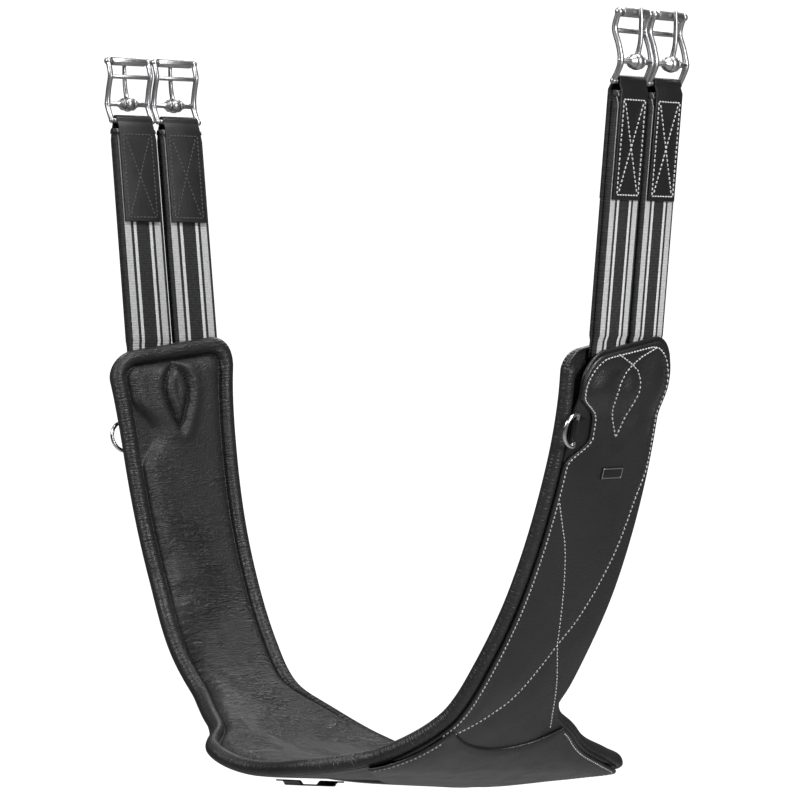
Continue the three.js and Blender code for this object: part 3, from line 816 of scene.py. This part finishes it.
def overlay_lines():
    """The stitched lines of an overlay, on the right arm: around its edge, and two long curves down it."""
    inset = 3.0
    up = np.arange(150, 442, 4.0)
    front = [(s, overlay_outline(s)[0] + inset) for s in up]
    turn = np.linspace(0, math.pi / 2, 8)
    radius = CORNER - inset
    top = OVERLAY_END - inset
    front_t = overlay_outline(top - radius)[0] + inset
    rear_t = overlay_outline(top - radius)[1] - inset
    corner = [(top - radius + radius * math.sin(a), front_t + radius * (1 - math.cos(a))) for a in turn]
    far_corner = [(top - radius + radius * math.cos(a), rear_t - radius * (1 - math.sin(a))) for a in turn]
    down = [(s, overlay_outline(s)[1] - inset) for s in np.arange(430, 372, -4.0)]
    edge = front + corner + far_corner + down
    sweep_back = spline([(366, 38), (350, 34), (316, 29), (286, 22), (257, 13), (238, 4), (218, -4),
                         (190, -16), (170, -32), (152, -50)], 60)
    sweep_front = spline([(352, -44), (334, -34), (318, -25), (290, -14), (245, 0), (234, 4), (200, 21),
                          (170, 34), (157, 40)], 60)
    return [np.array(edge + [tuple(p) for p in sweep_back]), np.array(sweep_front)]


def build_overlay(side):
    sign = SIDES[side]
    seams = [np.asarray(line) * (sign, 1) for line in [*overlay_lines(), LEAF, *LEAF_TAILS]]
    rows = np.concatenate([np.arange(OVERLAY_START, OVERLAY_END - 24, 3.5), end_rows(OVERLAY_END)[::-1]])
    if sign < 0:
        rows = -rows[::-1]

    def relief(s, t, d):
        seam = distance_to(seams, s, t)
        near_top = smooth(np.abs(s), 380, 420)
        puff = (1.0 + 3.8 * near_top) * (1 - np.exp(-((seam / 10.0) ** 2)))
        return puff * smooth(d, 1, 12) - SEAM_DIP * np.exp(-((seam / SEAM_HALF) ** 2))

    layer(f"overlay_leather_{side}", f"overlay_{side}", rows, overlay_outline,
          lambda s: np.minimum(OVERLAY_END - np.abs(s), OVERLAY_CORNER_REACH), overlay_level,
          relief, OVERLAY_LEATHER, "skin_leather")

    def place_at(p):
        s, t = p[:, 0], p[:, 1]
        here = place(s, t, overlay_level(s) + SKIN - 0.1)
        return here, directions(np.clip(s, -HALF_LENGTH, HALF_LENGTH))[2]

    obj = stitches(f"overlay_stitches_{side}", seams, WHITE_THREAD, place_at)
    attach(obj, "girth_body")


def panel_end(t):
    """Where a belly panel ends on the arm: hollowed in the middle, higher at both edges."""
    return 137 + 17 * np.clip(np.abs(np.asarray(t, float) + 2) / 47, 0, 1.15) ** 2


def panel_start(t):
    """Where a belly panel starts: near the belly's middle, with its front corner cut off on a diagonal."""
    t = np.asarray(t, float)
    return 4 + 0.515 * (np.sqrt(t**2 + 24**2) - t)


def panel_outline(s):
    return -reach(s, 1) + 4 + 6 * smooth(np.abs(s), 98, 134), reach(s, 2) - 9


def panel_lines():
    front = [(s, panel_outline(s)[0] + 4) for s in np.arange(98, 150, 4.0)]
    rear = [(s, panel_outline(s)[1] - 4.5) for s in np.arange(154, 8, -4.0)]
    return [np.array(front), np.array(rear)]


def build_belly_panel(side):
    sign = SIDES[side]
    near_end = np.array([0, 0.002, 0.006, 0.012, 0.02])
    share = np.concatenate([near_end, np.linspace(0.03, 0.97, 52), 1 - near_end[::-1]])
    if sign < 0:
        share = share[::-1]
    front, rear = panel_outline(30 + share * 110)
    t = spread(front, rear, EDGE_STEPS, 40)
    fraction = (t - t[:, :1]) / (t[:, -1:] - t[:, :1])
    # The edges depend on s, and the start and end on t, so a few rounds bring the two into step.
    for _ in range(12):
        s = panel_start(t) + share[:, None] * (panel_end(t) - panel_start(t))
        front, rear = panel_outline(s)
        t = t / 2 + (front + fraction * (rear - front)) / 2
    front, rear = panel_outline(s)
    to_end = np.minimum(panel_end(t) - s, 40)
    to_side = np.minimum(t - front, rear - t)
    inside = np.clip(np.minimum(to_side, np.minimum(to_end, s - panel_start(t))), 0, None)
    inside[0], inside[-1], inside[:, 0], inside[:, -1] = 0, 0, 0, 0
    s = s * sign
    seams = [line * (sign, 1) for line in panel_lines()]
    seam = distance_to(seams, s, t)
    edge = rounded_edge(inside, 1.6)
    bottom = belly_level(s)
    puff = (1 - np.exp(-((seam / 7) ** 2))) * smooth(inside, 0, 6)
    puff = puff - SEAM_DIP * np.exp(-((seam / SEAM_HALF) ** 2))
    verts, faces = two_faced(place(s, t, bottom + edge * (SKIN + puff)), place(s, t, bottom))
    obj = finish_mesh(f"belly_leather_{side}", verts, faces, OVERLAY_LEATHER, grid_uv(s, t))
    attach(obj, "girth_body")
    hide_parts(f"belly_panel_{side}")

    def place_at(p):
        here = place(p[:, 0], p[:, 1], belly_level(p[:, 0]) + SKIN - 0.3)
        return here, directions(p[:, 0])[2]

    obj = stitches(f"belly_stitches_{side}", seams, WHITE_THREAD, place_at)
    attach(obj, "girth_body")


# ---------------------------------------------------------------- straps

def build_elastic(side, edge):
    sign = SIDES[side]
    centre = STRAP_OFFSET * EDGES[edge]
    half = ELASTIC_WIDTH / 2
    layer_half = ELASTIC_THICK / 4
    # Half of the section, with the notch between the two layers at its selvedge.
    quarter = np.linspace(0, math.pi, 9)
    notch_x = half - layer_half
    notch = [(notch_x + layer_half * math.sin(a), -layer_half - layer_half * math.cos(a)) for a in quarter]
    right = [(x, z) for x, z in notch] + [(x, z + 2 * layer_half) for x, z in notch]
    flat = np.linspace(half - layer_half, -(half - layer_half), 22)[1:-1]
    left = [(-x, -z) for x, z in right]
    upper = [(x, 2 * layer_half) for x in flat]
    section = np.array(right + upper + left + [(-x, -z) for x, z in upper])
    top = HALF_LENGTH + ELASTIC_TOP
    round_over = 2 * layer_half
    rounded_rows = top - round_over * np.cos(np.linspace(math.pi / 2, 0, 8))
    straight_rows = np.arange(HALF_LENGTH - 10, top - round_over - 3, 4)
    rows = np.concatenate([[HALF_LENGTH - 14], straight_rows, rounded_rows])
    over = np.clip(rows - (top - round_over), 0, round_over) / round_over
    height = np.sqrt(np.clip(1 - over**2, 0.002, 1))
    thin = np.where(rows < HALF_LENGTH, 0.7, 1.0)
    n = GAP + ELASTIC_THICK / 2 + section[None, :, 1] * (height * thin)[:, None]
    t = centre + np.repeat(section[None, :, 0], len(rows), 0)
    s = np.repeat(rows[:, None], len(section), 1) * sign
    points = place(s, t, n, False)
    cols = len(section)
    index = np.arange(len(rows) * cols).reshape(len(rows), cols)
    a, b = index[:-1], index[1:]
    faces = np.stack([a, np.roll(a, -1, 1), np.roll(b, -1, 1), b], -1).reshape(-1, 4)
    if sign > 0:
        faces = faces[:, ::-1]
    faces = [list(f) for f in faces] + [list(index[0]), list(index[-1][::-1])]
    uv = np.stack([s * sign * MM, (t - centre) * MM], -1).reshape(-1, 2)
    obj = finish_mesh(f"elastic_webbing_{side}_{edge}", points.reshape(-1, 3), faces, ELASTIC_WEAVE, uv)
    start = Vector(place(sign * (HALF_LENGTH + 3), centre, 4, False))
    end = Vector(place(sign * (HALF_LENGTH + CHAPE_BOTTOM - 4), centre, 4, False))
    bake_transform(obj)
    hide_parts(f"elastic_{side}_{edge}")


def chape_outline():
    """The folded strip's side view, in y and z: down the outer side, round the loop, and up inside."""
    side = ELASTIC_THICK / 2 + GAP
    low = CHAPE_BOTTOM - HINGE_HEIGHT
    shoulder = ELASTIC_TOP + GAP - HINGE_HEIGHT
    bend = math.radians(110)
    arc = np.linspace(bend, -bend, 22)
    outside = CHAPE_BORE + CHAPE_THICK
    outer = [(low, side + CHAPE_THICK), (low + 30, side + CHAPE_THICK), (shoulder, side + CHAPE_THICK)]
    outer += [(outside * math.cos(a), outside * math.sin(a)) for a in arc]
    outer += [(shoulder, -side - CHAPE_THICK), (low + 30, -side - CHAPE_THICK), (low, -side - CHAPE_THICK)]
    inner = [(low, -side), (low + 30, -side), (shoulder, -side)]
    inner += [(CHAPE_BORE * math.cos(a), CHAPE_BORE * math.sin(a)) for a in arc[::-1]]
    inner += [(shoulder, side), (low + 30, side), (low, side)]
    return outer + inner


def build_chape(side, edge):
    matrix = strap_frame(side, edge)
    body = f"strap_end_{side}_{edge}"
    folded = extruded(chape_outline(), CHAPE_WIDTH)
    obj = local_object(f"chape_leather_{side}_{edge}", [folded], matrix, STRAP_LEATHER, bevel=0.5)
    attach(obj, body)
    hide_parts(f"chape_{side}_{edge}")
    x = CHAPE_WIDTH / 2 - 3.2
    low = CHAPE_BOTTOM - HINGE_HEIGHT + 3.5
    high = ELASTIC_TOP - HINGE_HEIGHT - 6
    box = [(-x, low), (x, low), (x, high), (-x, high), (-x, low)]
    cross = [[(way * (2 - x), low + 2), (way * (x - 2), high - 2)] for way in (1, -1)]
    lines = [box[i:i + 2] for i in range(4)] + cross
    face = ELASTIC_THICK / 2 + GAP + CHAPE_THICK
    rotation = matrix.to_3x3()
    for way, material, where in ((1, WHITE_THREAD, "outer"), (-1, GREY_THREAD, "inner")):
        def place_at(p):
            here = np.array([matrix @ (Vector((a, b, way * (face + 0.05))) * MM) for a, b in p])
            return here, np.tile(np.array(rotation @ Vector((0, 0, way))), (len(p), 1))

        seam = stitches(f"chape_stitches_{where}_{side}_{edge}", lines, material, place_at)
        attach(seam, body)


# ---------------------------------------------------------------- steel

def bar_x(start, end, radius, y, z, rounded=0.3):
    verts, faces = lathe_x([(start, 0.001), (start, radius - rounded), (start + rounded, radius),
                            (end - rounded, radius), (end, radius - rounded), (end, 0.001)], 28)
    return verts + (0, y, z), faces


def ball(radius, centre, rings=16):
    turn = np.linspace(0, math.pi, rings)
    verts, faces = lathe_x([(-radius * math.cos(a), max(radius * math.sin(a), 0.001)) for a in turn], 28)
    return verts + np.array(centre), faces


RAIL_HALF = 19.0
BOSS_HALF = 18.6
ROLLER_HALF = 15.5
ROLLER_RADIUS = 3.5


def build_buckle(side, edge):
    matrix = strap_frame(side, edge)
    rail_half, boss_half, half = RAIL_HALF, BOSS_HALF, ROLLER_HALF
    profile = [(0, 0), (7, 3.2), TONGUE_BAR, (25, 2.2), CROSS_BAR, (42, -2), ROLLER_BAR]
    curve = spline(profile, 60)
    parts = []
    for way in (-1, 1):
        x = way * (rail_half + (boss_half - rail_half) * curve[:, 0] / ROLLER_BAR[0])
        swell = 2.15 + 0.3 * np.exp(-((curve[:, 0] - TONGUE_BAR[0]) / 4) ** 2)
        parts.append(sweep(np.column_stack([x, curve]), swell, 24))
        parts.append(ball(2.5, (way * rail_half, 0, 0)))
        parts.append(ball(3.1, (way * boss_half, *ROLLER_BAR)))
        parts.append(ball(2.5, (way * rail_half, *TONGUE_BAR)))
        shoulder = [(4.0, 0.001), (4.0, 4.2), (4.3, 4.9), (4.9, 5.2), (5.6, 4.9), (6.6, 4.0), (7.7, 3.1),
                    (9.2, 2.4), (9.4, 1.5)]
        verts, faces = lathe_x([(way * a, r) for a, r in shoulder], 32)
        parts.append((verts + (0, *TONGUE_BAR), faces if way > 0 else [f[::-1] for f in faces]))
    parts.append(bar_x(-rail_half, rail_half, 2.0, 0, 0))
    parts.append(bar_x(-rail_half, rail_half, 2.1, *TONGUE_BAR))
    parts.append(bar_x(-rail_half, rail_half, 1.8, *CROSS_BAR))
    parts.append(bar_x(-boss_half, boss_half, 1.6, *ROLLER_BAR))
    frame_obj = local_object(f"buckle_steel_{side}_{edge}", parts, matrix, BUCKLE_STEEL)
    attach(frame_obj, f"buckle_{side}_{edge}")
    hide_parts(f"buckle_frame_{side}_{edge}")

    tube = [(-half, 2.0), (-half, 3.1), (-half + 0.15, 3.35), (-half + 0.45, ROLLER_RADIUS),
            (half - 0.45, ROLLER_RADIUS), (half - 0.15, 3.35), (half, 3.1), (half, 2.0), (-half, 2.0)]
    verts, faces = lathe_x(tube, 40)
    turned = (verts + (0, *ROLLER_BAR), faces)
    roller = local_object(f"roller_steel_{side}_{edge}", [turned], matrix, BUCKLE_STEEL)
    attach(roller, f"roller_{side}_{edge}")
    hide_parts(f"roller_{side}_{edge}")

    ring = [(-3.4, 2.5), (-3.4, 4.5), (-2.9, 5.2), (-1.6, 5.9), (0, 6.1), (1.6, 5.9), (2.9, 5.2),
            (3.4, 4.5), (3.4, 2.5), (-3.4, 2.5)]
    verts, faces = lathe_x(ring, 36)
    height = ROLLER_BAR[0] - TONGUE_BAR[0]
    on_roller = ROLLER_RADIUS + GAP + 1.7 - TONGUE_BAR[1]
    path = spline([(0, 3.5, 0.5), (0, 0.4 * height, 2.2), (0, 0.75 * height, 1.8),
                   (0, height + 3, on_roller)], 40)
    taper = np.interp(np.linspace(0, 1, 40), [0, 0.15, 0.6, 1], [2.3, 1.9, 1.7, 1.45])
    rod = sweep(path, taper, 20)
    tip = ball(1.45, path[-1])
    moved = [(v + (0, *TONGUE_BAR), f) for v, f in ((verts, faces), rod, tip)]
    tongue = local_object(f"tongue_steel_{side}_{edge}", moved, matrix, BUCKLE_STEEL)
    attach(tongue, f"tongue_{side}_{edge}")
    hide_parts(f"tongue_{side}_{edge}")


def build_d_ring(side):
    bore = RING_WIRE + GAP
    outer = bore + TAB["thick"]
    s = RING_AT[side]
    matrix = local_frame(s, RING_INSET - float(reach(s, 1)), float(overlay_level(s)) + outer + RING_LIFT)
    turn = np.linspace(0, math.pi, 40)
    arc = np.column_stack([-RING_REACH * np.sin(turn), RING_HALF * np.cos(turn), 0 * turn])
    bar = np.column_stack([np.zeros(14), np.linspace(-RING_HALF, RING_HALF, 14), np.zeros(14)])
    loop = np.concatenate([arc, bar[1:-1]])
    ring = local_object(f"d_ring_steel_{side}", [sweep(loop, RING_WIRE, 20, closed=True)], matrix, RING_STEEL)
    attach(ring, f"d_ring_{side}")
    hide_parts(f"d_ring_{side}")
    # The tab's side view: a round eye, and a tail of two layers.
    doubled = 2 * TAB["thick"]
    turn = np.linspace(-math.pi / 2, math.asin(doubled / outer) - math.pi / 2 - 2 * math.pi, 34)
    eye = [(outer * math.cos(a), outer * math.sin(a)) for a in turn]
    outline = [(TAB["tail"], -outer)] + eye + [(TAB["tail"], doubled - outer)]
    block = extruded(outline, TAB["width"], along="y")
    tab = local_object(f"d_ring_tab_leather_{side}", [block], matrix, STRAP_LEATHER, bevel=0.35)
    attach(tab, "girth_body")
    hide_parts(f"d_ring_tab_{side}")


# ---------------------------------------------------------------- small trim

PLATE = {"s": 373, "t": 1.5, "half": 11, "half_along": 4.5, "low": -1.3, "high": 0.5}
KEEPER = {"t": -66, "half": 25.0, "loop_half": 15.0, "high": 3.0, "thick": 1.2, "along": 20.0}


def build_plate():
    s, t = PLATE["s"], PLATE["t"]
    half, half_along, low, high = PLATE["half"], PLATE["half_along"], PLATE["low"], PLATE["high"]
    matrix = local_frame(s, t, float(overlay_level(s)) + LEVEL + 1.0)
    side_view = [(-half_along, low), (half_along, low), (half_along, high), (-half_along, high)]
    plate = local_object("blank_plate", [extruded(side_view, 2 * half)], matrix, STRAP_LEATHER, bevel=0.6)
    x, y = half - 1, half_along - 1
    edge = np.array([(-x, -y, 0.55), (x, -y, 0.55), (x, y, 0.55), (-x, y, 0.55)])
    path = np.concatenate([np.linspace(edge[i], edge[(i + 1) % 4], 12, endpoint=False) for i in range(4)])
    border = local_object("blank_plate_rim", [sweep(path, 0.45, 10, closed=True)], matrix, BUCKLE_STEEL)
    for obj in (plate, border):
        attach(obj, "girth_body")
    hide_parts("label_plate")


def build_keeper():
    half, loop_half, high, thick = (KEEPER[key] for key in ("half", "loop_half", "high", "thick"))
    matrix = local_frame(0, KEEPER["t"], float(overlay_level(0)) + thick)
    lower = [(half, 0), (loop_half + 2.5, 0), (loop_half + 1, 0.8), (loop_half, high - 1),
             (loop_half - 1, high), (0, high)]
    upper = [(half, thick), (loop_half + 4, thick), (loop_half + 2.6, thick + 1), (loop_half + 1.6, high + 1),
             (loop_half - 0.6, high + thick), (0, high + thick)]
    outline = lower + [(-x, z) for x, z in lower[::-1][1:]] + [(-x, z) for x, z in upper] + upper[::-1][1:]
    block = extruded(outline, KEEPER["along"], along="y")
    keeper = local_object("keeper_leather", [block], matrix, STRAP_LEATHER, bevel=0.4)
    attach(keeper, "girth_body")
    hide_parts("belly_keeper")


# ---------------------------------------------------------------- stage, light and camera

def plain(name, colour, glow):
    """A matt material of the stage, with a faint cloud in its tone and a glow of its own."""
    n = Nodes(name)
    cloud = n.noise(n.coords.outputs["Object"], 2.0, 2, 0.5)
    tone = n.ramp(cloud, [(0.0, tuple(0.97 * c for c in colour)), (1.0, colour)])
    n.link(tone, n.shader.inputs["Base Color"])
    n.constants(Roughness=0.9, Specular_IOR_Level=0.1)
    n.constants(Emission_Color=(1, 1, 1, 1), Emission_Strength=glow)
    return n.material


FLOOR_DROP = 1.0
FLOOR_HALF = 14.0
SCREEN_BEHIND = 9.0
SCREEN_HALF = 2.3


def build_stage(camera_matrix):
    """A pale floor, and a glowing white screen far behind the girth as the camera sees it."""
    low = cad_bounds[0][2] - FLOOR_DROP
    square = ((-1, -1), (1, -1), (1, 1), (-1, 1))
    corners = [(x * FLOOR_HALF, y * FLOOR_HALF, low) for x, y in square]
    pale = plain("pale_floor", (0.5, 0.5, 0.5), 0.08)
    floor = finish_mesh("floor", corners, [[0, 1, 2, 3]], pale, smooth_faces=False)
    right, up, back = (camera_matrix.col[i].to_3d() for i in range(3))
    centre = (Vector(cad_bounds[0]) + Vector(cad_bounds[1])) / 2 - back * SCREEN_BEHIND
    corners = [centre + right * x * SCREEN_HALF + up * y * SCREEN_HALF for x, y in square]
    white = plain("white_screen", (0.8, 0.8, 0.8), 1.0)
    screen = finish_mesh("screen", corners, [[0, 1, 2, 3]], white, smooth_faces=False)
    # The steel mirrors the dim studio beside the screen, as it would with the screen out of its sight.
    screen.visible_glossy = False


YAW, PITCH, ROLL_ANGLE = 0.877496, 0.005365, 0.006912
CAMERA_FROM_BELLY = np.array([2644.472, -2178.361, 265.951])
LENS = 202.488


def build_camera():
    belly = place(0, 0, 0)
    view = Vector((-math.sin(YAW) * math.cos(PITCH), math.cos(YAW) * math.cos(PITCH), math.sin(PITCH)))
    level_right = Vector((math.cos(YAW), math.sin(YAW), 0))
    level_up = level_right.cross(view)
    right = math.cos(ROLL_ANGLE) * level_right + math.sin(ROLL_ANGLE) * level_up
    up = right.cross(view)
    matrix = Matrix([right, up, -view]).transposed().to_4x4()
    matrix.translation = Vector(belly + CAMERA_FROM_BELLY * MM)
    data = bpy.data.cameras.new("camera")
    data.lens = LENS
    data.sensor_width = 36
    data.clip_end = 50
    camera = bpy.data.objects.new("camera", data)
    camera.matrix_world = matrix
    bpy.context.scene.collection.objects.link(camera)
    bpy.context.scene.camera = camera
    return matrix


def area_light(name, matrix, offset, size, power, aim):
    data = bpy.data.lights.new(name, "AREA")
    data.shape = "RECTANGLE"
    data.size, data.size_y = size
    data.energy = power
    obj = bpy.data.objects.new(name, data)
    right, up, back = (matrix.col[i].to_3d() for i in range(3))
    spot = aim + right * offset[0] + up * offset[1] + back * offset[2]
    obj.location = spot
    obj.rotation_euler = (spot - aim).to_track_quat("Z", "Y").to_euler()
    bpy.context.scene.collection.objects.link(obj)


WORLD = 0.17


def build_lights(camera_matrix):
    low, high = (Vector(c) for c in cad_bounds)
    aim = (low + high) / 2
    area_light("key", camera_matrix, (-1.3, 1.2, 1.0), (0.5, 0.9), 20, aim)
    area_light("fill", camera_matrix, (1.1, 0.5, 1.3), (0.4, 0.9), 20, aim)
    area_light("above", camera_matrix, (0.4, 1.7, 0.5), (1.0, 0.5), 22, aim)
    area_light("behind", camera_matrix, (0.0, 1.5, -1.7), (1.8, 0.7), 19, aim)
    world = bpy.data.worlds.new("studio")
    world.use_nodes = True
    tree = world.node_tree
    background = tree.nodes["Background"]
    coords = tree.nodes.new("ShaderNodeTexCoord")
    parts = tree.nodes.new("ShaderNodeSeparateXYZ")
    tree.links.new(coords.outputs["Generated"], parts.inputs["Vector"])
    ramp = tree.nodes.new("ShaderNodeValToRGB")
    tree.links.new(parts.outputs["Z"], ramp.inputs["Fac"])
    ramp.color_ramp.elements[0].color = (0.2, 0.2, 0.2, 1)
    ramp.color_ramp.elements[1].color = (1, 1, 1, 1)
    tree.links.new(ramp.outputs["Color"], background.inputs["Color"])
    background.inputs["Strength"].default_value = WORLD
    bpy.context.scene.world = world
    bpy.context.scene.view_settings.view_transform = "Standard"


camera_matrix = build_camera()
build_stage(camera_matrix)
build_lights(camera_matrix)
build_lining()
build_foam()
build_skin()
build_plate()
build_keeper()
for side in SIDES:
    build_overlay(side)
    build_belly_panel(side)
    build_d_ring(side)
    for edge in EDGES:
        build_elastic(side, edge)
        build_chape(side, edge)
        build_buckle(side, edge)
